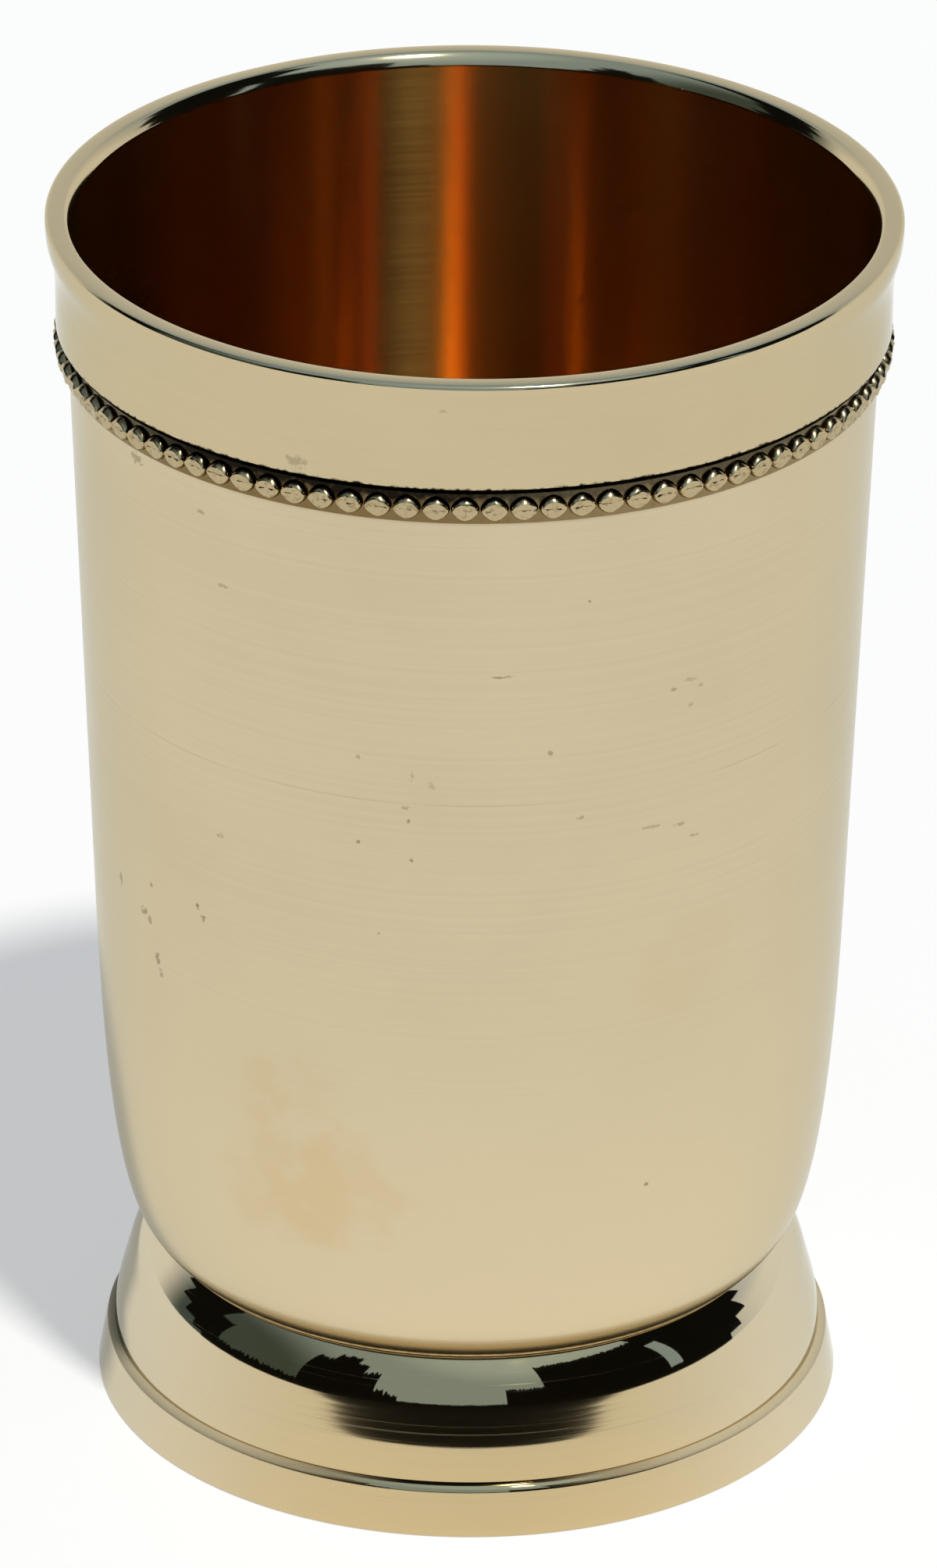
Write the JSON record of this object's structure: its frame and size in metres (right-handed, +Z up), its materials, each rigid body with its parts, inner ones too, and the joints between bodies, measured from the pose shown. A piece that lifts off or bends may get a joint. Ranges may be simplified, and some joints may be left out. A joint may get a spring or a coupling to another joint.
{
  "type": "footed tumbler",
  "caption": "Footed brass tumbler: tapered spun bowl with a flared mouth collar, a beaded band below it, a hollow bell foot and a stepped base ring. Holds a drink.",
  "frame": {"origin": "middle of the flat resting face under the base ring", "axes": "+Z up along the axis of the cup, X and Y in the plane it stands on"},
  "size_m": [0.075, 0.075, 0.1141],
  "materials": {
    "bowl_brass": "pale polished brass with fine turning lines and small dark specks",
    "collar_brass": "pale polished brass",
    "bead_brass": "polished beads with dark tarnish between them",
    "foot_brass": "polished brass",
    "ring_brass": "polished brass, worn at the shoulder",
    "solder": "dull solder"
  },
  "bodies": {
    "root": {"bowl": "bowl_brass", "mouth_collar": "collar_brass", "bead_band": "bead_brass", "foot": "foot_brass", "base_ring": "ring_brass", "solder_washer": "solder"}
  },
  "joints": []
}
